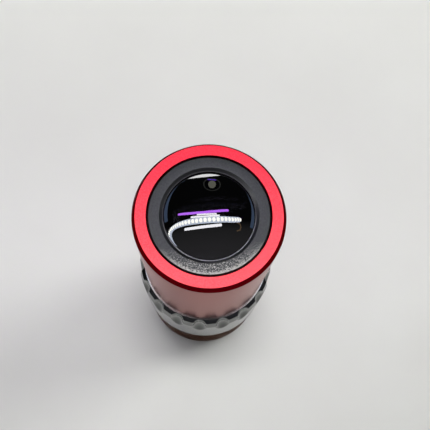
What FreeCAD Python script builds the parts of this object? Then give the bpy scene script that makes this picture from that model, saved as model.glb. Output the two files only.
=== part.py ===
import FreeCAD, Part
import math
import os

import Sketcher

# Microscope objective standing on its thread end. The Z axis is the optical axis, and the origin is
# the centre of the rear end face. Lengths are in millimetres, and angles in degrees.
sizes = {
    # Outside of the mount body
    "threadRadius": 12.5,
    "threadLength": 5.0,
    "threadChamfer": 0.5,
    "reliefDepth": 0.6,
    "reliefLength": 1.0,
    "undercutDepth": 0.2,
    "undercutMargin": 0.1,
    "shoulderWidth": 2.7,
    "collarLength": 18.4,
    "collarStep": 2.95,
    # Grip ring
    "gripStep": 1.6,
    "gripLength": 21.4,
    "gripTaperWidth": 0.6,
    "gripTaperLength": 3.6,
    "gripBottomChamfer": 0.6,
    "fluteCount": 18,
    "fluteDepth": 1.25,
    "fluteCutter": 1.75,
    "fluteLength": 9.6,
    "fluteRunout": 7.0,
    # Outer sleeve
    "sleeveWall": 1.7,
    "sleeveLength": 35.2,
    "lipThickness": 2.2,
    "frontChamferWidth": 0.64,
    "frontChamferHeight": 1.04,
    # Front retaining ring
    "ringRecess": 0.1,
    "ringGap": 0.12,
    "bevelWidth": 0.7,
    "mouthMargin": 0.35,
    "mouthLand": 0.12,
    "mouthDepth": 0.6,
    "skirtWall": 1.1,
    "skirtLength": 3.4,
    "seatGap": 0.2,
    # Lens stack in the barrel, from the front
    "rimWidth": 2.05,
    "rimShow": 0.15,
    "lensChamfer": 0.2,
    "frontLensEdge": 3.0,
    "frontLensCurvature": 16.5,
    "frontRimWidth": 0.76,
    "frontSpacerLength": 2.5,
    "crownAEdge": 2.4,
    "crownARise": 1.2,
    "cementARise": 1.4,
    "flintAEdge": 3.2,
    "flintARise": 0.4,
    "middleSpacerLength": 3.0,
    "crownBEdge": 2.2,
    "crownBRise": 1.0,
    "cementBRise": 1.1,
    "flintBEdge": 2.8,
    "flintBRise": 0.3,
    "stopSpacerLength": 2.0,
    "stopThickness": 0.6,
    "stopRadius": 5.2,
    "stopBevel": 0.4,
    # Lens barrel
    "barrelWall": 1.1,
    "flangeDepth": 2.2,
    "flangeWidth": 1.45,
    "spigotWall": 2.6,
    "spigotLength": 13.0,
    "spigotRelief": 1.0,
    "shimThickness": 0.5,
    # Rear group inside the mount body
    "threadWall": 2.9,
    "innerLipWidth": 1.2,
    "innerLipThickness": 2.0,
    "rearCellLength": 14.5,
    "rearCellWall": 1.55,
    "rearSeatThickness": 1.0,
    "rearRimWidth": 1.36,
    "rearCrownEdge": 2.0,
    "rearCrownRise": 0.7,
    "rearCementRise": 0.8,
    "rearFlintEdge": 2.6,
    "rearFlintRise": 0.3,
    "rearRingLength": 1.5,
    "baffleMouth": 0.5,
    "lockRingLength": 2.0,
    "lockRingWidth": 2.15,
    "slotWidth": 1.2,
    "slotDepth": 0.8,
    # Fits and broken edges
    "bodyClearance": 0.05,
    "lensClearance": 0.04,
    "edgeBreak": 0.25,
    "entryChamfer": 0.4,
}

doc = FreeCAD.newDocument("MicroscopeObjective")
sheet = doc.addObject("Spreadsheet::Sheet", "Sizes")
for row, (alias, number) in enumerate(sizes.items(), start=1):
    sheet.set("A%d" % row, alias)
    sheet.set("B%d" % row, str(number))
    sheet.setAlias("B%d" % row, alias)
doc.recompute()


class Size:
    # A length as a number, together with the expression on the sheet that gives it

    def __init__(self, value, text):
        self.value = value
        self.text = text

    def __add__(self, other):
        return Size(self.value + other.value, "(%s + %s)" % (self.text, other.text))

    def __sub__(self, other):
        return Size(self.value - other.value, "(%s - %s)" % (self.text, other.text))


def size(alias):
    return Size(sizes[alias], "Sizes." + alias)


def fallOfSphere(curvature, radius):
    # How far a sphere falls from its vertex out to a radius
    remaining = math.sqrt(curvature.value ** 2 - radius.value ** 2)
    text = "(%s - sqrt(%s ^ 2 - %s ^ 2))" % (curvature.text, curvature.text, radius.text)
    return Size(curvature.value - remaining, text)


axis = Size(0.0, "0")

# Heights up the outside, from the rear end face
threadEnd = size("threadLength")
shoulder = threadEnd + size("reliefLength")
undercutTop = shoulder + size("undercutDepth")
collarTop = shoulder + size("collarLength")
gripTop = collarTop + size("gripLength")
front = gripTop + size("sleeveLength")

# Radii of the outside, outward from the thread
threadRadius = size("threadRadius")
reliefRadius = threadRadius - size("reliefDepth")
seatRadius = threadRadius + size("undercutMargin")
collarRadius = threadRadius + size("shoulderWidth")
barrelRadius = collarRadius - size("collarStep")
sleeveBore = barrelRadius + size("bodyClearance")
sleeveRadius = sleeveBore + size("sleeveWall")
gripRadius = sleeveRadius + size("gripStep")

# Radii of the barrel, the front ring and the glass, inward from the barrel's outside
capBore = barrelRadius - size("barrelWall")
ringRadius = capBore - size("bodyClearance")
lipRadius = ringRadius + size("ringGap")
stackBore = ringRadius - size("skirtWall")
spacerRadius = stackBore - size("bodyClearance")
lensRadius = stackBore - size("lensClearance")
clearRadius = stackBore - size("rimWidth")
spacerAperture = clearRadius + size("rimShow")
ringAperture = clearRadius + size("mouthMargin")
bevelRadius = ringAperture + size("bevelWidth")
frontDomeRadius = lensRadius - size("frontRimWidth")
spigotRadius = barrelRadius - size("flangeWidth")
spigotBore = spigotRadius + size("bodyClearance")
barrelBore = spigotRadius - size("spigotWall")

# Radii of the rear group, inward from the thread
rearBore = threadRadius - size("threadWall")
innerLipRadius = rearBore - size("innerLipWidth")
rearCellRadius = rearBore - size("bodyClearance")
rearCellBore = rearCellRadius - size("rearCellWall")
rearLensRadius = rearCellBore - size("lensClearance")
rearRingRadius = rearCellBore - size("bodyClearance")
rearClear = rearLensRadius - size("rearRimWidth")
rearRingAperture = rearClear + size("rimShow")
lockRingAperture = rearCellRadius - size("lockRingWidth")

# Heights of the front ring and the lens stack. The ring's lip holds the front glass by its dome, which
# bulges through the mouth and stands proud of the front face.
barrelFront = front - size("lipThickness")
ringFace = front - size("ringRecess")
lipUnderside = front - size("mouthDepth")
mouthTouch = lipUnderside - size("lensClearance")
frontVertex = mouthTouch + fallOfSphere(size("frontLensCurvature"), ringAperture)
lensEdge = frontVertex - fallOfSphere(size("frontLensCurvature"), frontDomeRadius)
skirtEnd = lensEdge - size("skirtLength")
capFloor = skirtEnd - size("seatGap")
frontSpacerTop = lensEdge - size("frontLensEdge")
crownATop = frontSpacerTop - size("frontSpacerLength")
flintATop = crownATop - size("crownAEdge")
middleSpacerTop = flintATop - size("flintAEdge")
crownBTop = middleSpacerTop - size("middleSpacerLength")
flintBTop = crownBTop - size("crownBEdge")
stopSpacerTop = flintBTop - size("flintBEdge")
stopTop = stopSpacerTop - size("stopSpacerLength")
stackSeat = stopTop - size("stopThickness")

# Heights where the barrel seats on the mount body, and of the rear group below
barrelShoulder = gripTop - size("flangeDepth")
bodyTop = barrelShoulder - size("shimThickness")
spigotEnd = barrelShoulder - size("spigotLength")
spigotFloor = spigotEnd - size("spigotRelief")
rearCellTop = spigotFloor - size("innerLipThickness")
rearCellEnd = rearCellTop - size("rearCellLength")
lockRingEnd = rearCellEnd - size("lockRingLength")
rearCrownTop = rearCellTop - size("rearSeatThickness")
rearFlintTop = rearCrownTop - size("rearCrownEdge")
rearRingTop = rearFlintTop - size("rearFlintEdge")
baffleTop = rearRingTop - size("rearRingLength")

bodies = []


def newBody(name):
    body = doc.addObject("PartDesign::Body", name)
    body.Label = name
    bodies.append(body)
    return body


def newSketch(body, name):
    # Every outline is drawn in the plane of the X and Z axes
    sketch = body.newObject("Sketcher::SketchObject", name)
    plane = [feature for feature in body.Origin.OriginFeatures if feature.Role == "XZ_Plane"][0]
    sketch.AttachmentSupport = (plane, [""])
    sketch.MapMode = "FlatFace"
    return sketch


def pinPoint(sketch, geometry, position, across, up):
    # Holds one point of the sketch at a place that the sheet drives
    for kind, axisLine, place in (("DistanceX", -2, across), ("DistanceY", -1, up)):
        if place is None:
            continue
        if place.value == 0:
            sketch.addConstraint(Sketcher.Constraint("PointOnObject", geometry, position, axisLine))
            continue
        index = sketch.addConstraint(Sketcher.Constraint(kind, -1, 1, geometry, position, place.value))
        sketch.setExpression("Constraints[%d]" % index, place.text)


def drawOutline(sketch, corners, arcs=None):
    # A closed outline through the corners. An edge named in arcs is round: its entry holds the
    # distance of its centre from the axis, and a point that it passes through.
    arcs = arcs or {}
    points = [FreeCAD.Vector(across.value, up.value, 0) for across, up in corners]
    starts = []
    ends = []
    for edge, start in enumerate(points):
        finish = points[(edge + 1) % len(points)]
        if edge in arcs:
            sketch.addGeometry(Part.Arc(start, arcs[edge][1], finish), False)
        else:
            sketch.addGeometry(Part.LineSegment(start, finish), False)
        forward = sketch.getPoint(edge, 1).distanceToPoint(start) < 1e-6
        starts.append(1 if forward else 2)
        ends.append(2 if forward else 1)
    for edge in range(len(points)):
        following = (edge + 1) % len(points)
        joined = Sketcher.Constraint("Coincident", edge, ends[edge], following, starts[following])
        sketch.addConstraint(joined)
    for edge, (across, up) in enumerate(corners):
        pinPoint(sketch, edge, starts[edge], across, up)
    for edge, (centreAcross, passing) in arcs.items():
        pinPoint(sketch, edge, 3, centreAcross, None)


def turnedBody(name, corners, arcs=None):
    # A piece turned about the optical axis from its half section
    body = newBody(name)
    sketch = newSketch(body, name + "_section")
    drawOutline(sketch, corners, arcs)
    revolution = body.newObject("PartDesign::Revolution", name + "_turned")
    revolution.Profile = sketch
    revolution.ReferenceAxis = (sketch, ["V_Axis"])
    revolution.Angle = 360
    sketch.Visibility = False
    return body, sketch


def ring(name, inner, outer, bottom, top):
    # A plain spacing ring with its outer edges broken
    rim = size("edgeBreak")
    return turnedBody(name, [
        (inner, bottom),
        (outer - rim, bottom),
        (outer, bottom + rim),
        (outer, top - rim),
        (outer - rim, top),
        (inner, top),
    ])


def domePoint(clear, edgeHeight, vertex):
    # A point half way round the spherical arc from the vertex on the axis to the clear radius
    rise = vertex.value - edgeHeight.value
    curvature = (clear.value ** 2 + rise ** 2) / (2 * abs(rise))
    halfAngle = math.asin(clear.value / curvature) / 2
    centre = vertex.value - math.copysign(curvature, rise)
    height = centre + math.copysign(curvature * math.cos(halfAngle), rise)
    return FreeCAD.Vector(curvature * math.sin(halfAngle), height, 0)


def lens(name, clear, radius, rearEdge, rearVertex, frontEdge, frontVertex):
    # A lens with a ground flat rim outside its clear radius. A vertex at its rim's height is flat.
    corners = [
        (axis, rearVertex),
        (clear, rearEdge),
        (radius - size("lensChamfer"), rearEdge),
        (radius, rearEdge + size("lensChamfer")),
        (radius, frontEdge - size("lensChamfer")),
        (radius - size("lensChamfer"), frontEdge),
        (clear, frontEdge),
        (axis, frontVertex),
    ]
    arcs = {}
    if rearVertex.value != rearEdge.value:
        arcs[0] = (axis, domePoint(clear, rearEdge, rearVertex))
    if frontVertex.value != frontEdge.value:
        arcs[6] = (axis, domePoint(clear, frontEdge, frontVertex))
    return turnedBody(name, corners, arcs)


def cutSlots(body, name, outer, face, slotTop):
    # Two spanner slots in the rear face of a ring, cut as one channel right across it
    sketch = newSketch(body, name + "_channel")
    half = Size(sizes["slotWidth"] / 2, "Sizes.slotWidth / 2")
    points = [
        FreeCAD.Vector(-half.value, face.value, 0),
        FreeCAD.Vector(half.value, face.value, 0),
        FreeCAD.Vector(half.value, slotTop.value, 0),
        FreeCAD.Vector(-half.value, slotTop.value, 0),
    ]
    bottomEdge, rightEdge, topEdge, leftEdge = range(4)
    for edge, point in enumerate(points):
        sketch.addGeometry(Part.LineSegment(point, points[(edge + 1) % len(points)]), False)
    for edge in range(len(points)):
        following = (edge + 1) % len(points)
        sketch.addConstraint(Sketcher.Constraint("Coincident", edge, 2, following, 1))
    sketch.addConstraint(Sketcher.Constraint("Horizontal", topEdge))
    sketch.addConstraint(Sketcher.Constraint("Vertical", leftEdge))
    pinPoint(sketch, rightEdge, 1, half, face)
    pinPoint(sketch, topEdge, 1, half, slotTop)
    sketch.addConstraint(Sketcher.Constraint("Symmetric", bottomEdge, 1, bottomEdge, 2, -2))
    pocket = body.newObject("PartDesign::Pocket", name + "_slots")
    pocket.Profile = sketch
    pocket.Type = "Length"
    pocket.Midplane = True
    pocket.setExpression("Length", "3 * " + outer.text)
    sketch.Visibility = False


# Mount body: thread, a relief groove that also undercuts the shoulder so that only the face outside
# the thread seats, collar, and the upper bore that the barrel screws into
turnedBody("mount_body", [
    (rearBore + size("entryChamfer"), axis),
    (threadRadius - size("threadChamfer"), axis),
    (threadRadius, size("threadChamfer")),
    (threadRadius, threadEnd),
    (reliefRadius, threadEnd),
    (reliefRadius, undercutTop),
    (seatRadius, undercutTop),
    (seatRadius, shoulder),
    (collarRadius - size("edgeBreak"), shoulder),
    (collarRadius, shoulder + size("edgeBreak")),
    (collarRadius, collarTop - size("edgeBreak")),
    (collarRadius - size("edgeBreak"), collarTop),
    (barrelRadius, collarTop),
    (barrelRadius, bodyTop),
    (spigotBore, bodyTop),
    (spigotBore, spigotFloor),
    (innerLipRadius, spigotFloor),
    (innerLipRadius, rearCellTop),
    (rearBore, rearCellTop),
    (rearBore, size("entryChamfer")),
])

# Grip ring: a turned blank that tapers in to its top, then one flute repeated round it. The flute is
# straight at the top and runs out to the wall on a long arc.
gripBody, gripSection = turnedBody("grip_ring", [
    (sleeveBore, collarTop),
    (gripRadius - size("gripBottomChamfer"), collarTop),
    (gripRadius, collarTop + size("gripBottomChamfer")),
    (gripRadius, gripTop - size("gripTaperLength")),
    (gripRadius - size("gripTaperWidth"), gripTop),
    (sleeveBore, gripTop),
])
cutterAxis = gripRadius - size("fluteDepth") + size("fluteCutter")
cutterEnd = gripTop - size("fluteLength")
runoutTop = cutterEnd + size("fluteRunout")
cutterTop = gripTop + size("fluteCutter")
cutterSide = cutterAxis - size("fluteCutter")
runoutRadius = Size(
    (sizes["fluteCutter"] ** 2 + sizes["fluteRunout"] ** 2) / (2 * sizes["fluteCutter"]),
    "((Sizes.fluteCutter ^ 2 + Sizes.fluteRunout ^ 2) / (2 * Sizes.fluteCutter))",
)
runoutCentre = cutterSide + runoutRadius
runoutHalfAngle = math.asin(sizes["fluteRunout"] / runoutRadius.value) / 2
runoutPoint = FreeCAD.Vector(
    runoutCentre.value - runoutRadius.value * math.cos(runoutHalfAngle),
    runoutTop.value - runoutRadius.value * math.sin(runoutHalfAngle),
    0,
)
fluteSketch = newSketch(gripBody, "flute_section")
drawOutline(fluteSketch, [
    (cutterAxis, cutterTop),
    (cutterSide, cutterTop),
    (cutterSide, runoutTop),
    (cutterAxis, cutterEnd),
], {2: (runoutCentre, runoutPoint)})
spindle = fluteSketch.addGeometry(Part.LineSegment(
    FreeCAD.Vector(cutterAxis.value, cutterEnd.value, 0),
    FreeCAD.Vector(cutterAxis.value, cutterTop.value, 0),
), True)
pinPoint(fluteSketch, spindle, 1, cutterAxis, cutterEnd)
pinPoint(fluteSketch, spindle, 2, cutterAxis, cutterTop)
flute = gripBody.newObject("PartDesign::Groove", "flute")
flute.Profile = fluteSketch
flute.ReferenceAxis = (fluteSketch, ["Axis0"])
flute.Angle = 360
fluteSketch.Visibility = False
flutes = gripBody.newObject("PartDesign::PolarPattern", "flutes")
flutes.Originals = [flute]
flutes.Axis = (gripSection, ["V_Axis"])
flutes.Angle = 360
flutes.setExpression("Occurrences", "Sizes.fluteCount")
gripBody.Tip = flutes

# Parfocal shim between the top of the mount body and the barrel's shoulder
turnedBody("parfocal_shim", [
    (spigotBore, bodyTop),
    (barrelRadius, bodyTop),
    (barrelRadius, barrelShoulder),
    (spigotBore, barrelShoulder),
])

# Lens barrel: spigot, flange, stack bore and the counterbore that takes the retaining ring
turnedBody("lens_barrel", [
    (barrelBore, spigotEnd),
    (spigotRadius - size("edgeBreak"), spigotEnd),
    (spigotRadius, spigotEnd + size("edgeBreak")),
    (spigotRadius, barrelShoulder),
    (barrelRadius, barrelShoulder),
    (barrelRadius, barrelFront - size("edgeBreak")),
    (barrelRadius - size("edgeBreak"), barrelFront),
    (capBore, barrelFront),
    (capBore, capFloor),
    (stackBore, capFloor),
    (stackBore, stackSeat),
    (barrelBore, stackSeat),
])

# Outer sleeve with its front lip and chamfer
turnedBody("outer_sleeve", [
    (sleeveBore, gripTop),
    (sleeveRadius - size("edgeBreak"), gripTop),
    (sleeveRadius, gripTop + size("edgeBreak")),
    (sleeveRadius, front - size("frontChamferHeight")),
    (sleeveRadius - size("frontChamferWidth"), front),
    (lipRadius, front),
    (lipRadius, barrelFront),
    (sleeveBore, barrelFront),
])

# Front retaining ring: bevelled mouth, thin lip over the glass and a threaded skirt round it
turnedBody("front_retaining_ring", [
    (ringAperture, lipUnderside),
    (ringAperture, lipUnderside + size("mouthLand")),
    (bevelRadius, ringFace),
    (ringRadius - size("edgeBreak"), ringFace),
    (ringRadius, ringFace - size("edgeBreak")),
    (ringRadius, skirtEnd),
    (stackBore, skirtEnd),
    (stackBore, lipUnderside),
])

# Lens stack, from the front glass to the aperture stop
lens("front_lens", frontDomeRadius, lensRadius, frontSpacerTop, frontSpacerTop,
     lensEdge, frontVertex)
ring("front_spacer", spacerAperture, spacerRadius, crownATop, frontSpacerTop)
lens("crown_lens_a", clearRadius, lensRadius, flintATop, flintATop - size("cementARise"),
     crownATop, crownATop + size("crownARise"))
lens("flint_lens_a", clearRadius, lensRadius, middleSpacerTop, middleSpacerTop + size("flintARise"),
     flintATop, flintATop - size("cementARise"))
ring("middle_spacer", spacerAperture, spacerRadius, crownBTop, middleSpacerTop)
lens("crown_lens_b", clearRadius, lensRadius, flintBTop, flintBTop - size("cementBRise"),
     crownBTop, crownBTop + size("crownBRise"))
lens("flint_lens_b", clearRadius, lensRadius, stopSpacerTop, stopSpacerTop + size("flintBRise"),
     flintBTop, flintBTop - size("cementBRise"))
ring("stop_spacer", spacerAperture, spacerRadius, stopTop, stopSpacerTop)
turnedBody("aperture_stop", [
    (size("stopRadius") + size("stopBevel"), stackSeat),
    (spacerRadius, stackSeat),
    (spacerRadius, stopTop),
    (size("stopRadius"), stopTop),
])

# Rear cell with its doublet, slotted ring and baffle
turnedBody("rear_cell", [
    (rearCellBore, rearCellEnd),
    (rearCellRadius - size("edgeBreak"), rearCellEnd),
    (rearCellRadius, rearCellEnd + size("edgeBreak")),
    (rearCellRadius, rearCellTop - size("edgeBreak")),
    (rearCellRadius - size("edgeBreak"), rearCellTop),
    (rearRingAperture, rearCellTop),
    (rearRingAperture, rearCrownTop),
    (rearCellBore, rearCrownTop),
])
lens("rear_crown_lens", rearClear, rearLensRadius, rearFlintTop, rearFlintTop - size("rearCementRise"),
     rearCrownTop, rearCrownTop + size("rearCrownRise"))
lens("rear_flint_lens", rearClear, rearLensRadius, rearRingTop, rearRingTop + size("rearFlintRise"),
     rearFlintTop, rearFlintTop - size("rearCementRise"))
rearRing = ring("rear_retaining_ring", rearRingAperture, rearRingRadius, baffleTop, rearRingTop)[0]
cutSlots(rearRing, "rear_retaining_ring", rearRingRadius, baffleTop, baffleTop + size("slotDepth"))
turnedBody("rear_baffle", [
    (rearRingAperture + size("baffleMouth"), rearCellEnd),
    (rearRingRadius, rearCellEnd),
    (rearRingRadius, baffleTop),
    (rearRingAperture, baffleTop),
])
lockRing = ring("cell_lock_ring", lockRingAperture, rearCellRadius, lockRingEnd, rearCellEnd)[0]
cutSlots(lockRing, "cell_lock_ring", rearCellRadius, lockRingEnd, lockRingEnd + size("slotDepth"))

doc.recompute()

# Nothing is written unless every feature is sound
for item in doc.Objects:
    if "Invalid" in item.State or "Error" in item.State:
        raise RuntimeError("%s failed: %s" % (item.Name, item.State))
os.makedirs("parts", exist_ok=True)
for body in bodies:
    if body.Shape.isNull() or not body.Shape.isValid() or len(body.Shape.Solids) != 1:
        raise RuntimeError("%s has no single valid solid" % body.Label)
for body in bodies:
    body.Shape.exportStep("parts/%s.step" % body.Label)
    box = body.Shape.BoundBox
    print("%-22s volume %9.2f  z %6.2f to %6.2f  radius %6.2f"
          % (body.Label, body.Shape.Volume, box.ZMin, box.ZMax, box.XMax))
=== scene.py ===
import math

import bmesh
import bpy
from mathutils import Matrix, Vector


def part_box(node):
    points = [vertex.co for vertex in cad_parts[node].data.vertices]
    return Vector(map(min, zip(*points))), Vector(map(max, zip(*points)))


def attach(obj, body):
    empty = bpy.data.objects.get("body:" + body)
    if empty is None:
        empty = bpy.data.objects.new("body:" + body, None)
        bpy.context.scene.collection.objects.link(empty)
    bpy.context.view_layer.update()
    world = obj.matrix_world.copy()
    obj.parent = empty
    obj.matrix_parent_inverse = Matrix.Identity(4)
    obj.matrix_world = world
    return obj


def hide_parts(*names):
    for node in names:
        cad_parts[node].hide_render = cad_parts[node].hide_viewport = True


# A microscope objective standing on its thread, front glass up. Lengths here are in millimetres and
# are turned to metres as each mesh is made.
mm = 0.001
fullTurn = 2 * math.pi

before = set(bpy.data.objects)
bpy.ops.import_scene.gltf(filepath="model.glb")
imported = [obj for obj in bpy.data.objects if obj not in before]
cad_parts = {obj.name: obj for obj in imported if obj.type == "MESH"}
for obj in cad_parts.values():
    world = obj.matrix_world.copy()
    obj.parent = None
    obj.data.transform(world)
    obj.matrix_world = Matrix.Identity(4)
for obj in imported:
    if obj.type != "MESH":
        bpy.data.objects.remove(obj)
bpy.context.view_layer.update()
print("frame loaded:", len(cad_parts), "nodes")


def boxOf(node):
    # radius, bottom and top of a turned CAD node, in mm
    low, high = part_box(node)
    return round(high.x / mm, 2), round(low.z / mm, 2), round(high.z / mm, 2)


sleeveRadius, sleeveBottom, sleeveTop = boxOf("outer_sleeve")
gripRadius, gripBottom, gripTop = boxOf("grip_ring")
collarRadius, bodyBottom, bodyTop = boxOf("mount_body")
ringRadius, ringBottom, ringTop = boxOf("front_retaining_ring")
lensRadius, lensBottom, lensTop = boxOf("front_lens")


# Materials

def hexColour(code):
    # sRGB hex to a linear colour with alpha
    values = [int(code[at:at + 2], 16) / 255 for at in (0, 2, 4)]
    linear = [value / 12.92 if value <= 0.04045 else ((value + 0.055) / 1.055) ** 2.4 for value in values]
    return (*linear, 1.0)


def newMaterial(name):
    material = bpy.data.materials.new(name)
    material.use_nodes = True
    tree = material.node_tree
    return material, tree, tree.nodes["Principled BSDF"]


def addNode(tree, kind, inputs=None, **settings):
    # adds a node, sets its properties, then fills each input with a value or a link
    node = tree.nodes.new(kind)
    for name, value in settings.items():
        setattr(node, name, value)
    for name, value in (inputs or {}).items():
        if isinstance(value, bpy.types.NodeSocket):
            tree.links.new(value, node.inputs[name])
        else:
            node.inputs[name].default_value = value
    return node


def colourRamp(tree, factor, stops):
    # a ramp through (place, hex colour) stops
    node = addNode(tree, "ShaderNodeValToRGB", {"Fac": factor})
    ramp = node.color_ramp
    while len(ramp.elements) < len(stops):
        ramp.elements.new(0.5)
    for element, (place, code) in zip(ramp.elements, stops):
        element.position = place
        element.color = hexColour(code)
    return node.outputs["Color"]


def noiseAt(tree, size, detail=3.0, roughness=0.55):
    # noise on object coordinates whose features are about size mm across
    coordinates = addNode(tree, "ShaderNodeTexCoord").outputs["Object"]
    return addNode(tree, "ShaderNodeTexNoise", {
        "Vector": coordinates,
        "Scale": 1 / (size * mm),
        "Detail": detail,
        "Roughness": roughness,
    }).outputs["Fac"]


def spread(tree, value, low, high, toLow, toHigh):
    # maps one range of a value to another
    return addNode(tree, "ShaderNodeMapRange", {
        "Value": value,
        "From Min": low,
        "From Max": high,
        "To Min": toLow,
        "To Max": toHigh,
    }).outputs["Result"]


def placeOnObject(tree):
    # X, Y and Z of the point that is shaded
    coordinates = addNode(tree, "ShaderNodeTexCoord").outputs["Object"]
    return addNode(tree, "ShaderNodeSeparateXYZ", {"Vector": coordinates}).outputs


def alongDepth(tree, start, end):
    # goes from 0 to 1 between two places on Y, in mm. The photographer stands on the minus side.
    return spread(tree, placeOnObject(tree)["Y"], start * mm, end * mm, 0.0, 1.0)


def turningMarks(tree, pitch):
    # fine rings about the optical axis, one each pitch mm of height
    upOnly = addNode(tree, "ShaderNodeCombineXYZ", {"Z": placeOnObject(tree)["Z"]})
    return addNode(tree, "ShaderNodeTexNoise", {
        "Vector": upOnly.outputs["Vector"],
        "Scale": 1 / (pitch * mm),
        "Detail": 2.0,
    }).outputs["Fac"]


def addBump(tree, shader, height, depth, strength=1.0):
    bump = addNode(tree, "ShaderNodeBump", {"Height": height, "Distance": depth * mm, "Strength": strength})
    tree.links.new(bump.outputs["Normal"], shader.inputs["Normal"])


# Painted highlight on the near side, on minus Y: the blasted face, the mouth edge and the black ring are
# painted paler there, as sheen and glint. Each place is from start to end, in mm on Y.
blastedPaintedSheen = {"start": 11.0, "end": -11.0}
edgePaintedGlint = {"start": 0.0, "end": -7.0}
ringPaintedSheen = {
    "start": -5.5,
    "end": -9.5,
    "edgeFrom": 10.2,
    "edgeTo": 10.95,
    "rimGlintGain": 0.16,  # how much more painted glint the outer edge gets
    "speckSize": 0.22,
}


def anodisedBlasted():
    # aluminium bead-blasted before it is dyed red: a fine even sparkle, painted paler on the near side as a
    # painted sheen
    material, tree, shader = newMaterial("anodisedAluminiumRedBlasted")
    grain = noiseAt(tree, 0.19, 2.0, 0.7)
    # the paler red towards the near side is a painted sheen
    mixed = addNode(tree, "ShaderNodeMix", {
        "Factor": alongDepth(tree, blastedPaintedSheen["start"], blastedPaintedSheen["end"]),
        "A": colourRamp(tree, grain, [(0.3, "d41e30"), (0.7, "ee3c4a")]),
        "B": colourRamp(tree, grain, [(0.3, "ee3e46"), (0.7, "ff5a5e")]),
    }, data_type="RGBA")
    tree.links.new(mixed.outputs["Result"], shader.inputs["Base Color"])
    shader.inputs["Metallic"].default_value = 0.55
    shader.inputs["Roughness"].default_value = 0.52
    shader.inputs["Specular IOR Level"].default_value = 0.2
    addBump(tree, shader, grain, 0.03)
    return material


def anodisedPolished():
    # a diamond-cut chamfer under the same dye: deep red, because it mirrors the dark of the room
    material, tree, shader = newMaterial("anodisedAluminiumRedCut")
    shader.inputs["Metallic"].default_value = 1.0
    marks = noiseAt(tree, 0.3)
    colour = colourRamp(tree, marks, [(0.35, "6a0a14"), (0.65, "7c0f1b")])
    tree.links.new(colour, shader.inputs["Base Color"])
    tree.links.new(spread(tree, marks, 0.3, 0.7, 0.2, 0.28), shader.inputs["Roughness"])
    shader.inputs["Specular Tint"].default_value = hexColour("6a1018")
    return material


def anodisedSatin():
    # the turned side of the sleeve: red under a clear sealed oxide that mirrors the table at a slant
    material, tree, shader = newMaterial("anodisedAluminiumRedSatin")
    shader.inputs["Metallic"].default_value = 1.0
    shader.inputs["Specular Tint"].default_value = hexColour("f4e0dc")
    marks = turningMarks(tree, 0.12)
    colour = colourRamp(tree, marks, [(0.3, "80141a"), (0.7, "901a20")])
    tree.links.new(colour, shader.inputs["Base Color"])
    tree.links.new(spread(tree, marks, 0.3, 0.7, 0.16, 0.24), shader.inputs["Roughness"])
    addBump(tree, shader, marks, 0.002)
    return material


def anodisedBlack(name="anodisedAluminiumBlack", withPaintedSheen=False):
    # black dyed aluminium, satin. With the painted sheen, grey specks are painted on the near side as a
    # highlight, more of them at the outer edge.
    material, tree, shader = newMaterial(name)
    grain = noiseAt(tree, 0.25)
    base = colourRamp(tree, grain, [(0.3, "262a29"), (0.7, "343837")])
    roughness = spread(tree, grain, 0.3, 0.7, 0.34, 0.44)
    if withPaintedSheen:
        paintedNearSide = alongDepth(tree, ringPaintedSheen["start"], ringPaintedSheen["end"])
        place = placeOnObject(tree)
        flat = addNode(tree, "ShaderNodeCombineXYZ", {"X": place["X"], "Y": place["Y"]})
        radius = addNode(tree, "ShaderNodeVectorMath", {0: flat.outputs["Vector"]}, operation="LENGTH")
        rimGlint = spread(tree, radius.outputs["Value"], ringPaintedSheen["edgeFrom"] * mm, ringPaintedSheen["edgeTo"] * mm,
                          0.0, ringPaintedSheen["rimGlintGain"])
        specks = addNode(tree, "ShaderNodeMath", {
            0: noiseAt(tree, ringPaintedSheen["speckSize"], 5.0, 0.75),
            1: rimGlint,
        }, operation="ADD")
        shown = spread(tree, specks.outputs["Value"], 0.49, 0.64, 0.0, 1.0)
        paintedSpecks = addNode(tree, "ShaderNodeMath", {0: paintedNearSide, 1: shown}, operation="MULTIPLY")
        # grey specks painted on the near side stand for a sheen of light, brightest at the rim
        mixed = addNode(tree, "ShaderNodeMix", {
            "Factor": paintedSpecks.outputs["Value"],
            "A": base,
            "B": hexColour("b6b4ae"),
        }, data_type="RGBA")
        base = mixed.outputs["Result"]
    tree.links.new(base, shader.inputs["Base Color"])
    tree.links.new(roughness, shader.inputs["Roughness"])
    shader.inputs["Metallic"].default_value = 0.0
    shader.inputs["Specular IOR Level"].default_value = 0.2
    addBump(tree, shader, grain, 0.006)
    return material


def bevelPaintedShade():
    # the same black on a fine-turned slope, nearly glossy, with painted shade: its colour is set near black,
    # darker than the face. The ring's outer edge break takes it too.
    material, tree, shader = newMaterial("anodisedAluminiumBlackBevelPaintedShade")
    marks = turningMarks(tree, 0.08)
    tree.links.new(colourRamp(tree, marks, [(0.3, "08090a"), (0.7, "0e0f11")]), shader.inputs["Base Color"])
    shader.inputs["Roughness"].default_value = 0.3
    return material


def paintedGlintEdge():
    # a sharp edge: black on the far side, and painted grey on the near side as a painted glint along the mouth
    material, tree, shader = newMaterial("aluminiumEdgePaintedGlint")
    paintedNearSide = alongDepth(tree, edgePaintedGlint["start"], edgePaintedGlint["end"])
    # grey only towards the near side: a painted glint, not bare metal
    grain = addNode(tree, "ShaderNodeMath", {0: noiseAt(tree, 0.4), 1: paintedNearSide}, operation="MULTIPLY")
    colour = colourRamp(tree, grain.outputs["Value"], [(0.0, "141516"), (0.25, "5a5c5e"), (0.6, "8c8e90")])
    tree.links.new(colour, shader.inputs["Base Color"])
    shader.inputs["Metallic"].default_value = 0.4
    shader.inputs["Roughness"].default_value = 0.45
    return material


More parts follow.
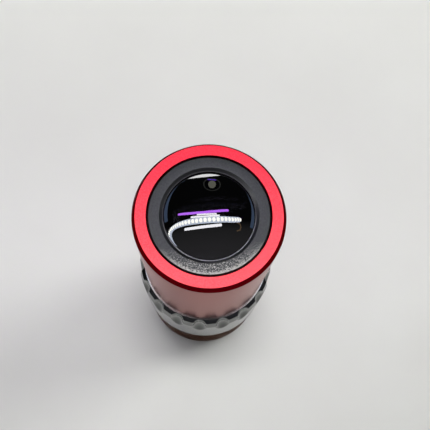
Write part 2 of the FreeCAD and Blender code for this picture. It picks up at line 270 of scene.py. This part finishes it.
def coatedGlass():
    # polished crown glass, coated: its first face mirrors crisply. Its colour is painted near black, so nothing
    # shows through: painted shade of the dark barrel inside.
    material, tree, shader = newMaterial("coatedCrownGlass")
    tint = noiseAt(tree, 6.0)
    tree.links.new(colourRamp(tree, tint, [(0.3, "0a0a0d"), (0.7, "0e0d12")]), shader.inputs["Base Color"])
    shader.inputs["Transmission Weight"].default_value = 1.0
    shader.inputs["Roughness"].default_value = 0.0
    shader.inputs["IOR"].default_value = 2.0
    shader.inputs["Specular IOR Level"].default_value = 1.0
    return material


def innerCoatedGlass():
    # the elements below are painted nearly black, as painted shade inside the barrel, under a faint violet
    # coating
    material, tree, shader = newMaterial("violetCoatedGlass")
    depth = noiseAt(tree, 5.0)
    tree.links.new(colourRamp(tree, depth, [(0.3, "07060a"), (0.7, "0c0a10")]), shader.inputs["Base Color"])
    shader.inputs["Roughness"].default_value = 0.05
    shader.inputs["IOR"].default_value = 1.6
    shader.inputs["Specular IOR Level"].default_value = 0.08
    shader.inputs["Specular Tint"].default_value = hexColour("8a6fd0")
    return material


def clearGlass():
    # uncoated glass of the inner elements
    material, tree, shader = newMaterial("opticalGlassClear")
    tint = noiseAt(tree, 8.0)
    tree.links.new(colourRamp(tree, tint, [(0.3, "dfe6e4"), (0.7, "eaf0ee")]), shader.inputs["Base Color"])
    shader.inputs["Transmission Weight"].default_value = 1.0
    shader.inputs["Roughness"].default_value = 0.01
    shader.inputs["IOR"].default_value = 1.6
    return material


def nickelPlate():
    # bright plating over turned brass: a soft mirror with faint turning marks
    material, tree, shader = newMaterial("nickelChromePlate")
    marks = turningMarks(tree, 0.2)
    colour = colourRamp(tree, marks, [(0.3, "525454"), (0.7, "606262")])
    tree.links.new(colour, shader.inputs["Base Color"])
    shader.inputs["Metallic"].default_value = 1.0
    tree.links.new(spread(tree, marks, 0.3, 0.7, 0.12, 0.17), shader.inputs["Roughness"])
    addBump(tree, shader, marks, 0.0015)
    return material


def agedBrass():
    # turned brass gone brown: warm, with the lathe's marks and darker blotches
    material, tree, shader = newMaterial("turnedBrassAged")
    marks = turningMarks(tree, 0.15)
    blotches = noiseAt(tree, 3.0, 4.0, 0.6)
    bright = colourRamp(tree, marks, [(0.3, "5a3c1c"), (0.7, "6c4a26")])
    mixed = addNode(tree, "ShaderNodeMix", {
        "Factor": spread(tree, blotches, 0.45, 0.7, 0.0, 0.6),
        "A": bright,
        "B": hexColour("362414"),
    }, data_type="RGBA")
    tree.links.new(mixed.outputs["Result"], shader.inputs["Base Color"])
    shader.inputs["Metallic"].default_value = 1.0
    tree.links.new(spread(tree, blotches, 0.4, 0.7, 0.24, 0.38), shader.inputs["Roughness"])
    shader.inputs["Specular Tint"].default_value = hexColour("80582c")
    addBump(tree, shader, marks, 0.002)
    return material


def groundSteel():
    # ground stainless shim
    material, tree, shader = newMaterial("groundStainlessSteel")
    grain = noiseAt(tree, 0.2)
    tree.links.new(colourRamp(tree, grain, [(0.3, "8d8e90"), (0.7, "a4a5a7")]), shader.inputs["Base Color"])
    shader.inputs["Metallic"].default_value = 1.0
    shader.inputs["Roughness"].default_value = 0.35
    return material


materials = {
    "blasted": anodisedBlasted(),
    "polished": anodisedPolished(),
    "satin": anodisedSatin(),
    "black": anodisedBlack(),
    "blackPaintedSheen": anodisedBlack("anodisedAluminiumBlackPaintedSheen", True),
    "edge": paintedGlintEdge(),
    "bevel": bevelPaintedShade(),
    "frontGlass": coatedGlass(),
    "innerGlass": innerCoatedGlass(),
    "clearGlass": clearGlass(),
    "plate": nickelPlate(),
    "brass": agedBrass(),
    "steel": groundSteel(),
}
print("materials made:", len(materials))


# Mesh helpers

spinSteps = 240  # round the axis, on the turned pieces


def profileLoop(shape, corners, rounding):
    # a closed outline through (radius, height) corners, with every corner slightly rounded
    ring = [shape.verts.new((radius * mm, 0, height * mm)) for radius, height in corners]
    for index, vertex in enumerate(ring):
        shape.edges.new((ring[index - 1], vertex))
    if rounding:
        bmesh.ops.bevel(shape, geom=shape.verts[:], offset=rounding * mm, offset_type="OFFSET", segments=3,
                        profile=0.5, affect="VERTICES", clamp_overlap=True, material=-1)


def spinAll(shape, steps=spinSteps):
    bmesh.ops.spin(shape, geom=shape.verts[:] + shape.edges[:], cent=(0, 0, 0), axis=(0, 0, 1),
                   angle=fullTurn, steps=steps, use_merge=True)
    bmesh.ops.remove_doubles(shape, verts=shape.verts[:], dist=0.0005 * mm)
    bmesh.ops.recalc_face_normals(shape, faces=shape.faces[:])


def makePiece(name, shape, usedMaterials, replaced, chooseMaterial=None, sharpDegrees=None):
    # turns a bmesh into a piece that rides on the root body and stands for CAD nodes
    if chooseMaterial:
        for face in shape.faces:
            face.material_index = chooseMaterial(face)
    mesh = bpy.data.meshes.new(name)
    shape.to_mesh(mesh)
    shape.free()
    for material in usedMaterials:
        mesh.materials.append(material)
    mesh.polygons.foreach_set("use_smooth", [True] * len(mesh.polygons))
    if sharpDegrees:
        mesh.set_sharp_from_angle(angle=math.radians(sharpDegrees))
    piece = bpy.data.objects.new(name, mesh)
    bpy.context.scene.collection.objects.link(piece)
    if not sharpDegrees:
        weighted = piece.modifiers.new("faceWeights", "WEIGHTED_NORMAL")
        weighted.weight = 100
    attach(piece, "root")
    if replaced:
        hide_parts(*replaced)
    print("piece:", name, len(mesh.polygons), "faces")
    return piece


# Outer sleeve: blasted front face, cut chamfer, satin side

sleeve = {
    "bore": 12.3,
    "lipBore": 11.22,
    "lipThickness": 2.2,
    "chamferWidth": 0.64,
    "chamferHeight": 1.04,
    "mouthBreak": 0.16,
    "rounding": 0.04,
}


def sleeveMaterial(face):
    centre = face.calc_center_median()
    if face.normal.z > 0.9 and centre.z > (sleeveTop - 0.2) * mm:
        return 0
    if face.normal.z > 0.2 and centre.z > (sleeveTop - sleeve["chamferHeight"] - 0.05) * mm:
        return 1
    return 2


shape = bmesh.new()
profileLoop(shape, [
    (sleeve["bore"], sleeveBottom),
    (sleeveRadius, sleeveBottom),
    (sleeveRadius, sleeveTop - sleeve["chamferHeight"]),
    (sleeveRadius - sleeve["chamferWidth"], sleeveTop),
    (sleeve["lipBore"] + sleeve["mouthBreak"], sleeveTop),
    (sleeve["lipBore"], sleeveTop - sleeve["mouthBreak"]),
    (sleeve["lipBore"], sleeveTop - sleeve["lipThickness"]),
    (sleeve["bore"], sleeveTop - sleeve["lipThickness"]),
], sleeve["rounding"])
spinAll(shape)
makePiece("outerSleeve", shape, [materials["blasted"], materials["polished"], materials["satin"]],
          ["outer_sleeve"], sleeveMaterial)


# Front retaining ring: flat face, shallow bevel with painted shade, and a bright painted glint on the mouth
# edge's near side

frontRing = {
    "aperture": 8.3,
    "bevelRadius": 9.0,
    "mouthLand": 0.12,
    "mouthLine": 0.16,
    "lipUnderside": 80.40,
    "skirtBore": 10.0,
    "edgeBreak": 0.2,
    "rounding": 0.04,
}


def frontRingMaterial(face):
    centre = face.calc_center_median()
    radius = centre.xy.length / mm
    # material 1 is the mouth line's painted glint, material 2 the painted shade of the bevel and the outer edge
    # break
    if radius > ringRadius - frontRing["edgeBreak"] + 0.02:
        return 2
    if centre.z < (frontRing["lipUnderside"] + 0.03) * mm or radius > frontRing["bevelRadius"] - 0.02:
        return 0
    return 1 if radius < frontRing["aperture"] + frontRing["mouthLine"] else 2


shape = bmesh.new()
profileLoop(shape, [
    (frontRing["aperture"], frontRing["lipUnderside"]),
    (frontRing["aperture"], frontRing["lipUnderside"] + frontRing["mouthLand"]),
    (frontRing["aperture"] + frontRing["mouthLine"], frontRing["lipUnderside"] + frontRing["mouthLand"] + 0.02),
    (frontRing["bevelRadius"], ringTop),
    (ringRadius - frontRing["edgeBreak"], ringTop),
    (ringRadius, ringTop - frontRing["edgeBreak"]),
    (ringRadius, ringBottom),
    (frontRing["skirtBore"], ringBottom),
    (frontRing["skirtBore"], frontRing["lipUnderside"]),
], frontRing["rounding"])
spinAll(shape)
makePiece("frontRetainingRing", shape, [materials["blackPaintedSheen"], materials["edge"], materials["bevel"]],
          ["front_retaining_ring"], frontRingMaterial)


# Front glass: a strong dome, a ground rim and a flat back

frontGlass = {
    "curvature": 16.5,
    "domeRadius": 9.2,
    "rimChamfer": 0.2,
    "domeSteps": 40,
    "turnSteps": 160,
    "sharpDegrees": 20,
}

shape = bmesh.new()
sphereCentre = lensTop - frontGlass["curvature"]
domeAngle = math.asin(frontGlass["domeRadius"] / frontGlass["curvature"])
vertex = shape.verts.new((0, 0, lensTop * mm))
bmesh.ops.spin(shape, geom=[vertex], cent=(0, 0, sphereCentre * mm), axis=(0, 1, 0), angle=domeAngle,
               steps=frontGlass["domeSteps"])
shape.verts.ensure_lookup_table()
rim = max(shape.verts, key=lambda each: each.co.x)
rimHeight = rim.co.z / mm
last = rim
for radius, height in [
    (lensRadius - frontGlass["rimChamfer"], rimHeight),
    (lensRadius, rimHeight - frontGlass["rimChamfer"]),
    (lensRadius, lensBottom + frontGlass["rimChamfer"]),
    (lensRadius - frontGlass["rimChamfer"], lensBottom),
    (0, lensBottom),
]:
    following = shape.verts.new((radius * mm, 0, height * mm))
    shape.edges.new((last, following))
    last = following
spinAll(shape, frontGlass["turnSteps"])
makePiece("frontGlass", shape, [materials["frontGlass"]], ["front_lens"],
          sharpDegrees=frontGlass["sharpDegrees"])


# Grip ring: a turned blank whose wall is drawn in to the flutes

grip = {
    "bore": 12.3,
    "bottomChamfer": 0.6,
    "taperWidth": 0.6,
    "taperLength": 3.6,
    "topBreak": 0.75,
    "fluteCount": 18,
    "fluteDepth": 1.25,
    "cutterRadius": 1.75,
    "fluteLength": 9.6,
    "fluteRunout": 7.0,
    "edgeSoftness": 0.09,
    "stepsPerFlute": 40,
    "rows": 64,
    "ledgeRows": 11,
    "ledgeStep": 0.12,
    "heldRadius": 13.2,
    "sharpDegrees": 30,
}


def fluteLimit(angle, height):
    # how far out the wall may stand at an angle and height, with softened flute edges
    pitch = fullTurn / grip["fluteCount"]
    away = (angle + pitch / 2) % pitch - pitch / 2
    cutter = grip["cutterRadius"]
    axisRadius = gripRadius - grip["fluteDepth"] + cutter
    runoutRadius = (cutter ** 2 + grip["fluteRunout"] ** 2) / (2 * cutter)
    below = max(0.0, gripTop - grip["fluteLength"] + grip["fluteRunout"] - height)
    if below >= grip["fluteRunout"]:
        return 2 * gripRadius
    cutterHere = cutter - runoutRadius + math.sqrt(runoutRadius ** 2 - below ** 2)
    reach = cutterHere ** 2 - (axisRadius * math.sin(away)) ** 2
    if cutterHere <= 0 or reach <= 0:
        return 2 * gripRadius
    return axisRadius * math.cos(away) - math.sqrt(reach)


def softMinimum(first, second):
    # the smaller of two radii, eased where they cross
    soft = grip["edgeSoftness"]
    apart = abs(first - second) / soft
    if apart > 30:
        return min(first, second)
    return min(first, second) - soft * math.log1p(math.exp(-apart))


shape = bmesh.new()
wallBottom = gripBottom + grip["bottomChamfer"]
wallTop = gripTop - grip["taperLength"]
runoutEnd = gripTop - grip["fluteLength"]
heights = [wallBottom, (wallBottom + runoutEnd) / 2]
heights += [runoutEnd + (gripTop - runoutEnd) * row / grip["rows"] for row in range(grip["rows"])]
corners = [(grip["bore"], gripBottom), (gripRadius - grip["bottomChamfer"], gripBottom)]
breakStart = gripTop - grip["topBreak"]
corners += [(gripRadius - grip["taperWidth"] * max(0, height - wallTop) / grip["taperLength"]
             - max(0, height - breakStart), height) for height in heights]
ledgeRadius = gripRadius - grip["taperWidth"] - grip["topBreak"]
ledge = [ledgeRadius - grip["ledgeStep"] * row for row in range(grip["ledgeRows"])]
corners += [(radius, gripTop) for radius in ledge]
corners += [(grip["bore"], gripTop)]
profileLoop(shape, corners, 0)
spinAll(shape, grip["fluteCount"] * grip["stepsPerFlute"])
for vertex in shape.verts:
    radius = vertex.co.xy.length / mm
    height = vertex.co.z / mm
    if radius <= grip["heldRadius"]:
        continue
    limit = fluteLimit(math.atan2(vertex.co.y, vertex.co.x), height)
    moved = softMinimum(radius, limit)
    vertex.co.x *= moved / radius
    vertex.co.y *= moved / radius
bmesh.ops.recalc_face_normals(shape, faces=shape.faces[:])
makePiece("gripRing", shape, [materials["plate"]], ["grip_ring"],
          sharpDegrees=grip["sharpDegrees"])


# Mount body: collar, undercut shoulder and spigot, with the thread as its own helix

mount = {
    "rearBore": 9.6,
    "entryChamfer": 0.4,
    "threadRadius": 12.5,
    "threadPitch": 0.75,
    "threadDepth": 0.46,
    "threadLength": 5.0,
    "reliefRadius": 11.9,
    "undercutTop": 6.2,
    "seatRadius": 12.6,
    "shoulder": 6.0,
    "spigotRadius": 12.25,
    "spigotBore": 10.85,
    "spigotFloor": 29.6,
    "lipRadius": 8.4,
    "cellSeat": 27.6,
    "collarBreak": 0.25,
    "rounding": 0.06,
    "threadSteps": 120,
    "sharpDegrees": 25,
}

shape = bmesh.new()
threadRoot = mount["threadRadius"] - mount["threadDepth"]
profileLoop(shape, [
    (mount["rearBore"] + mount["entryChamfer"], bodyBottom),
    (threadRoot, bodyBottom),
    (threadRoot, mount["threadLength"]),
    (mount["reliefRadius"], mount["threadLength"]),
    (mount["reliefRadius"], mount["undercutTop"]),
    (mount["seatRadius"], mount["undercutTop"]),
    (mount["seatRadius"], mount["shoulder"]),
    (collarRadius - mount["collarBreak"], mount["shoulder"]),
    (collarRadius, mount["shoulder"] + mount["collarBreak"]),
    (collarRadius, gripBottom - mount["collarBreak"]),
    (collarRadius - mount["collarBreak"], gripBottom),
    (mount["spigotRadius"], gripBottom),
    (mount["spigotRadius"], bodyTop),
    (mount["spigotBore"], bodyTop),
    (mount["spigotBore"], mount["spigotFloor"]),
    (mount["lipRadius"], mount["spigotFloor"]),
    (mount["lipRadius"], mount["cellSeat"]),
    (mount["rearBore"], mount["cellSeat"]),
    (mount["rearBore"], bodyBottom + mount["entryChamfer"]),
], mount["rounding"])
spinAll(shape)
makePiece("mountBody", shape, [materials["brass"]], ["mount_body"])

shape = bmesh.new()
turns = int((mount["threadLength"] - mount["threadPitch"]) / mount["threadPitch"])
crest = mount["threadPitch"] / 8
foot = mount["threadPitch"] * 0.44
ridge = [
    (threadRoot - 0.05, -foot),
    (threadRoot, -foot),
    (mount["threadRadius"], -crest / 2),
    (mount["threadRadius"], crest / 2),
    (threadRoot, foot),
    (threadRoot - 0.05, foot),
]
start = bodyBottom + mount["threadPitch"] / 2
section = [shape.verts.new((radius * mm, 0, (start + height) * mm)) for radius, height in ridge]
cap = shape.faces.new(section)
bmesh.ops.spin(shape, geom=[cap], cent=(0, 0, 0), axis=(0, 0, 1), angle=fullTurn * turns,
               dvec=(0, 0, mount["threadPitch"] * mm / mount["threadSteps"]),
               steps=mount["threadSteps"] * turns)
bmesh.ops.recalc_face_normals(shape, faces=shape.faces[:])
makePiece("mountThread", shape, [materials["brass"]], [],
          sharpDegrees=mount["sharpDegrees"])
print("mount thread:", turns, "turns")


# The other nodes keep their solids and take a finish

nodeFinish = {
    "crown_lens_a": "innerGlass",
    "flint_lens_a": "clearGlass",
    "crown_lens_b": "clearGlass",
    "flint_lens_b": "clearGlass",
    "rear_crown_lens": "clearGlass",
    "rear_flint_lens": "innerGlass",
    "parfocal_shim": "steel",
    "front_spacer": "black",
    "middle_spacer": "black",
    "stop_spacer": "black",
    "aperture_stop": "black",
    "lens_barrel": "black",
    "rear_cell": "black",
    "rear_retaining_ring": "black",
    "rear_baffle": "black",
    "cell_lock_ring": "black",
}
for node, finish in nodeFinish.items():
    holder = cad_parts[node]
    for materialSlot in holder.material_slots:
        materialSlot.material = materials[finish]
print("finishes given:", len(nodeFinish))


# Table, lamps and camera

photoTurn = Matrix.Rotation(math.radians(-11.0), 4, "Z")  # lines the flutes up with the photograph

table = {
    "size": 3000.0,
    "near": -20.0,
    "far": 110.0,
}


def tableMaterial():
    # a pale coated table top with a slight sheen, painted paler on the far side than the near side: a painted
    # gradient of light
    material, tree, shader = newMaterial("paleTableTop")
    cloud = noiseAt(tree, 40.0, 3.0, 0.5)
    # near to far blend: a painted gradient of light across the table
    away = alongDepth(tree, table["near"], table["far"])
    nearColour = colourRamp(tree, cloud, [(0.3, "c4c4be"), (0.7, "c9cac4")])
    farColour = colourRamp(tree, cloud, [(0.3, "eaebe5"), (0.7, "eeefe9")])
    mixed = addNode(tree, "ShaderNodeMix", {"Factor": away, "A": nearColour, "B": farColour}, data_type="RGBA")
    tree.links.new(mixed.outputs["Result"], shader.inputs["Base Color"])
    shader.inputs["Roughness"].default_value = 0.42
    return material


shape = bmesh.new()
bmesh.ops.create_grid(shape, x_segments=1, y_segments=1, size=table["size"] * mm / 2)
mesh = bpy.data.meshes.new("tableTop")
shape.to_mesh(mesh)
shape.free()
mesh.materials.append(tableMaterial())
tableTop = bpy.data.objects.new("tableTop", mesh)
bpy.context.scene.collection.objects.link(tableTop)


# Glowing tubes under the ceiling show in the dome, the chamfers and the plating. They are placed where
# the dome mirrors them, and leave the lighting of matt surfaces to the soft lamps further down.
# A point is (across, along), at the lamps' height, or (across, along, height).
lampHeight = 900.0
tubeLamps = {
    "tubeViolet": {
        "points": [(-725, 210), (-380, 205), (-125, 225), (105, 280), (370, 370)],
        "radius": 27.0, "colour": "c070ff", "strength": 8.0,
    },
    "tubeShortFar": {
        "points": [(-245, 175), (-55, 195), (130, 230)],
        "radius": 15.0, "colour": "fbfaff", "strength": 8.0,
    },
    "tubeShortNear": {
        "points": [(-365, 120), (-80, 145), (190, 205)],
        "radius": 19.0, "colour": "fbfaff", "strength": 8.0,
    },
    "tubeNear": {
        "points": [(-490, -140), (-215, -85), (15, -35), (250, 25)],
        "radius": 28.0, "colour": "fbfaff", "strength": 8.0,
    },
    "tubeHook": {
        "points": [(593, 161), (730, 148), (778, 86), (756, 7), (659, -34)],
        "radius": 14.0, "colour": "a08468", "strength": 2.0,
    },
    "glowRight": {
        "points": [(348, 1447, 324), (505, 1397, 344), (642, 1335, 364), (785, 1241, 423),
                   (908, 1137, 475), (1018, 1013, 539), (1109, 879, 599), (1183, 720, 675),
                   (1235, 549, 746), (1268, 368, 806), (1279, 178, 856)],
        "radius": 64.0, "colour": "7f98c0", "strength": 1.3,
    },
    "glowLeft": {
        "points": [(-739, 1267, 431), (-837, 1203, 436), (-922, 1132, 457), (-1012, 1035, 504),
                   (-1092, 924, 556), (-1158, 801, 617), (-1211, 674, 672), (-1253, 528, 730),
                   (-1277, 378, 784), (-1285, 225, 834), (-1276, 68, 878)],
        "radius": 64.0, "colour": "7f98c0", "strength": 1.3,
    },
    "tubeLong": {
        "points": [(685, 240), (460, 180), (280, 145), (130, 110), (-15, 85), (-155, 60), (-310, 35),
                   (-485, 5), (-695, -45), (-820, -90), (-955, -155), (-1050, -250), (-1085, -365),
                   (-1050, -470), (-985, -580), (-890, -670)],
        "radius": 64.0, "colour": "dce6fa", "strength": 5.4,
    },
}
beadLamps = {
    "points": [(685, 240), (460, 180), (280, 145), (130, 110), (-15, 85), (-155, 60), (-310, 35),
               (-485, 5), (-695, -45), (-820, -90), (-955, -155), (-1050, -250), (-1085, -365),
               (-1050, -470), (-985, -580), (-890, -670)],
    "count": 31,
    "radius": 46.0,
    "drop": 30.0,
    "colour": "fffdf4",
    "strength": 9.5,
}
softPanels = {
    # each stands upright and faces the object, and a round one is an ellipse
    "panelBack": {"centre": (-622, 3000, -619), "size": (3452, 3452), "round": True,
                  "colour": "ffffff", "strength": 5.4},
    # a round ceiling fitting: rim, shade and lamp, one before the other
    "fittingRim": {"centre": (-35, 1295, 905), "size": (500, 690), "round": True,
                   "colour": "9a9c96", "strength": 0.5},
    "fittingShade": {"centre": (-34, 1287, 900), "size": (440, 610), "round": True,
                     "colour": "101012", "strength": 1.0},
    "fittingLamp": {"centre": (-33, 1274, 872), "size": (214, 400), "round": True,
                    "colour": "b4b4a4", "strength": 1.6},
    "fittingBar": {"centre": (-44, 1268, 626), "size": (208, 43), "round": False,
                   "colour": "8058ff", "strength": 3.0},
}
# Only the soft lamps light matt surfaces, and only the tubes and panels show in mirrors.
softLamps = {
    "lampHigh": {"place": (0, 120, 1250), "sides": (320.0, 90.0), "watts": 6.8},
    "lampWide": {"place": (100, 100, 1250), "sides": (2200.0, 1500.0), "watts": 2.8},
    "lampRight": {"place": (800, 450, 900), "sides": (400.0, 400.0), "watts": 6.8},
}


def glowMaterial(name, code, strength):
    material = bpy.data.materials.new(name)
    material.use_nodes = True
    tree = material.node_tree
    tree.nodes.clear()
    glow = addNode(tree, "ShaderNodeEmission", {"Color": hexColour(code), "Strength": strength})
    addNode(tree, "ShaderNodeOutputMaterial", {"Surface": glow.outputs["Emission"]})
    return material


def placeLamp(name, data, code, strength):
    lamp = bpy.data.objects.new(name, data)
    data.materials.append(glowMaterial(name + "Glow", code, strength))
    bpy.context.scene.collection.objects.link(lamp)
    lamp.matrix_world = photoTurn
    lamp.visible_camera = False
    lamp.visible_diffuse = False
    lamp.visible_shadow = False


def alongPoints(points, share):
    # the place at a share of the length of a line through points
    lengths = [(Vector(b) - Vector(a)).length for a, b in zip(points, points[1:])]
    wanted = share * sum(lengths)
    for (a, b), length in zip(zip(points, points[1:]), lengths):
        if wanted <= length:
            return Vector(a).lerp(Vector(b), wanted / length)
        wanted -= length
    return Vector(points[-1])


for name, tube in tubeLamps.items():
    curve = bpy.data.curves.new(name, "CURVE")
    curve.dimensions = "3D"
    curve.bevel_depth = tube["radius"] * mm
    curve.bevel_resolution = 3
    curve.use_fill_caps = True
    line = curve.splines.new("POLY")
    line.points.add(len(tube["points"]) - 1)
    for point, (across, along, *height) in zip(line.points, tube["points"]):
        point.co = (across * mm, along * mm, (height or [lampHeight])[0] * mm, 1)
    placeLamp(name, curve, tube["colour"], tube["strength"])

shape = bmesh.new()
for bead in range(beadLamps["count"]):
    place = alongPoints(beadLamps["points"], bead / (beadLamps["count"] - 1))
    spot = Matrix.Translation((place.x * mm, place.y * mm, (lampHeight - beadLamps["drop"]) * mm))
    bmesh.ops.create_icosphere(shape, subdivisions=2, radius=beadLamps["radius"] * mm, matrix=spot)
mesh = bpy.data.meshes.new("beadLamps")
shape.to_mesh(mesh)
shape.free()
placeLamp("beadLamps", mesh, beadLamps["colour"], beadLamps["strength"])

for name, panel in softPanels.items():
    centre = Vector(panel["centre"]) * mm
    width, height = panel["size"]
    facing = Vector((-centre.x, -centre.y, 0)).to_track_quat("Z", "Y").to_matrix().to_4x4()
    stretch = Matrix.Diagonal((width * mm, height * mm, 1, 1))
    shape = bmesh.new()
    placing = Matrix.Translation(centre) @ facing @ stretch
    if panel["round"]:
        bmesh.ops.create_circle(shape, cap_ends=True, radius=0.5, segments=64, matrix=placing)
    else:
        bmesh.ops.create_grid(shape, x_segments=1, y_segments=1, size=0.5, matrix=placing)
    mesh = bpy.data.meshes.new(name)
    shape.to_mesh(mesh)
    shape.free()
    placeLamp(name, mesh, panel["colour"], panel["strength"])

for name, soft in softLamps.items():
    data = bpy.data.lights.new(name, "AREA")
    data.shape = "RECTANGLE"
    data.size, data.size_y = [side * mm for side in soft["sides"]]
    data.energy = soft["watts"]
    lamp = bpy.data.objects.new(name, data)
    bpy.context.scene.collection.objects.link(lamp)
    place = Vector(soft["place"]) * mm
    facing = place.to_track_quat("Z", "Y").to_matrix().to_4x4()
    lamp.matrix_world = photoTurn @ Matrix.Translation(place) @ facing
    lamp.visible_camera = False
    lamp.visible_glossy = False

# The ceiling is dim, and brighter on the photographer's side than beyond the object.
world = bpy.data.worlds.new("room")
bpy.context.scene.world = world
world.use_nodes = True
tree = world.node_tree
tree.nodes.clear()
direction = addNode(tree, "ShaderNodeTexCoord").outputs["Generated"]
apart = addNode(tree, "ShaderNodeSeparateXYZ", {"Vector": direction})
nearSide = spread(tree, apart.outputs["Y"], 0.1, -0.5, 0.0, 1.0)
roomColour = colourRamp(tree, nearSide, [(0.0, "1a1b1c"), (0.35, "58585a"), (1.0, "69686c")])
room = addNode(tree, "ShaderNodeBackground", {"Color": roomColour, "Strength": 1.0})
pale = addNode(tree, "ShaderNodeBackground", {"Color": hexColour("d2d3cd"), "Strength": 1.0})
seen = addNode(tree, "ShaderNodeLightPath").outputs["Is Camera Ray"]
mixed = addNode(tree, "ShaderNodeMixShader", {"Fac": seen, 1: room.outputs[0], 2: pale.outputs[0]})
addNode(tree, "ShaderNodeOutputWorld", {"Surface": mixed.outputs["Shader"]})

photo = {
    "size": 430,
    "focalPixels": 620.0,
    "sensor": 36.0,
    "elevation": 73.003,
    "roll": -6.322,
    "distance": 110.812,
    "offset": (-1.006, 0.126),
}


def addCamera():
    # the photograph's camera, worked out from the ellipses of the sleeve's front
    tilt = math.radians(photo["elevation"])
    roll = math.radians(photo["roll"])
    right = Vector((1, 0, 0))
    upward = Vector((0, math.sin(tilt), math.cos(tilt)))
    forward = Vector((0, math.cos(tilt), -math.sin(tilt)))
    offX, offY = photo["offset"]
    across = -(math.cos(roll) * offX + math.sin(roll) * offY)
    along = math.sin(roll) * offX - math.cos(roll) * offY
    place = right * across + upward * along - forward * photo["distance"] + Vector((0, 0, sleeveTop))
    imageRight = right * math.cos(roll) - upward * math.sin(roll)
    imageUp = right * math.sin(roll) + upward * math.cos(roll)
    turn = Matrix((imageRight, imageUp, -forward)).transposed().to_4x4()
    data = bpy.data.cameras.new("photoCamera")
    data.sensor_width = photo["sensor"]
    data.lens = photo["focalPixels"] / photo["size"] * photo["sensor"]
    data.clip_start = 0.01
    camera = bpy.data.objects.new("photoCamera", data)
    bpy.context.scene.collection.objects.link(camera)
    camera.matrix_world = photoTurn @ Matrix.Translation(place * mm) @ turn
    bpy.context.scene.camera = camera


addCamera()
bpy.context.scene.view_settings.view_transform = "Standard"
